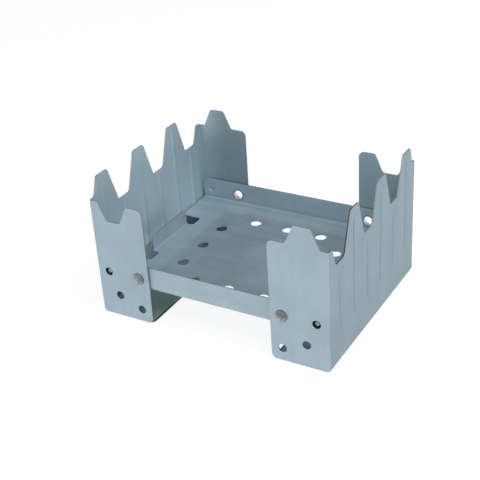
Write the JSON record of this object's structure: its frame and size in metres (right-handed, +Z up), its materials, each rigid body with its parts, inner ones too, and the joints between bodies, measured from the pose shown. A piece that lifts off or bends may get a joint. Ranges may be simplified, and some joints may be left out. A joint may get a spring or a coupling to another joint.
{
  "type": "pocket stove",
  "caption": "Folding sheet-steel pocket stove for solid fuel: a vented tray between toothed side panels that turn on hollow rivets, as legs and pot supports or as a closed case.",
  "frame": {"origin": "on the ground under the middle of the tray, with the stove open", "axes": "+X along the stove towards the right side panel, +Y towards the rear rail, +Z up"},
  "size_m": [0.0968, 0.0776, 0.0558],
  "materials": {
    "tray_sheet": "satin zinc-coated steel sheet, bluish grey",
    "panel_sheet": "satin zinc-coated steel sheet, bluish grey, with faint upright rolling marks",
    "rivet": "bright nickel-plated, with rolled lips"
  },
  "bodies": {
    "tray": {"tray": "tray_sheet", "rivet_front_left": "rivet", "rivet_front_right": "rivet", "rivet_rear_left": "rivet", "rivet_rear_right": "rivet"},
    "left_panel": {"left_side_panel": "panel_sheet"},
    "right_panel": {"right_side_panel": "panel_sheet"}
  },
  "joints": [
    {"name": "left_panel_fold", "type": "hinge", "parent": "tray", "child": "left_panel", "pos_m": [-0.0299, 0, 0.0191], "axis": [0, 1, 0], "range_deg": [0, 90]},
    {"name": "right_panel_fold", "type": "hinge", "parent": "tray", "child": "right_panel", "pos_m": [0.0299, 0, 0.0191], "axis": [0, -1, 0], "range_deg": [0, 90]}
  ]
}
